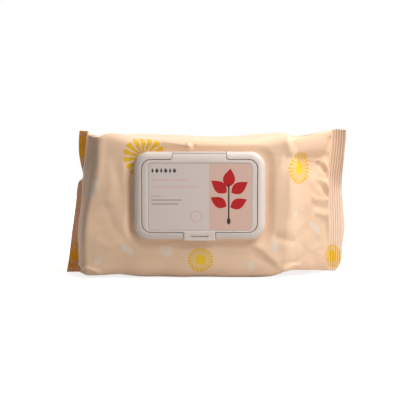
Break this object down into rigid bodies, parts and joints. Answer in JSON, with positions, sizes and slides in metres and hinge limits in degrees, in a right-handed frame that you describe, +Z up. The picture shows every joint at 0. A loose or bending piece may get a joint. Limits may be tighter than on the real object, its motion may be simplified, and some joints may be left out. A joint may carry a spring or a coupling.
{
  "type": "wet wipes pack with flip lid",
  "caption": "Soft film pack of wet wipes standing on its long side, sealed at both ends, with a moulded flip lid on its front.",
  "frame": {"origin": "on the floor, under the middle of the box round the whole pack as it stands on its long side", "axes": "+Z up the standing pack, +X along the pack towards its loose end, -Y out of the front panel that carries the lid"},
  "size_m": [0.2032, 0.058, 0.1068],
  "materials": {
    "printed_film": "satin laminated film, peach, with yellow daisies and pale petals",
    "seal_film": "white adhesive film",
    "lid_moulding": "moulded polypropylene, pale cream",
    "label_stock": "printed label, pale grey with a pink panel and a red motif"
  },
  "bodies": {
    "pack": {"film_pouch": "printed_film", "peel_seal": "seal_film", "lid_base": "lid_moulding"},
    "cover": {"flip_cover": "lid_moulding", "cover_label": "label_stock"}
  },
  "joints": [
    {"name": "cover_hinge", "type": "hinge", "parent": "pack", "child": "cover", "pos_m": [-0.004, -0.02685, 0.09145], "axis": [-1, 0, 0], "range_deg": [0, 175]}
  ]
}
